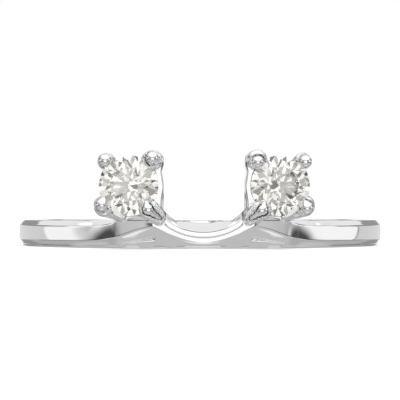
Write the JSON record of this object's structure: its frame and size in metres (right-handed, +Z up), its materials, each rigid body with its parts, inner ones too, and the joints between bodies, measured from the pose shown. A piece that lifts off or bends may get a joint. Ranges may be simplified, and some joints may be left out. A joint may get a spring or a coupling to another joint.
{
  "type": "ring guard enhancer",
  "caption": "Slim wrap ring whose head side dips in a wave round another ring's centre stone, with a round stone in a four-prong head on each side of the dip.",
  "frame": {"origin": "on the finger hole's axis, in the plane of the side face that the ring lies on", "axes": "+Z up along the finger hole's axis, towards the side where the other ring lies; -Y towards the stones; +X to the right seen from the stones"},
  "size_m": [0.0204, 0.0234, 0.0051],
  "materials": {
    "white_gold": "polished",
    "diamond": "faceted"
  },
  "bodies": {
    "root": {"ring_mount": "white_gold", "left_stone": "diamond", "right_stone": "diamond"}
  },
  "joints": []
}
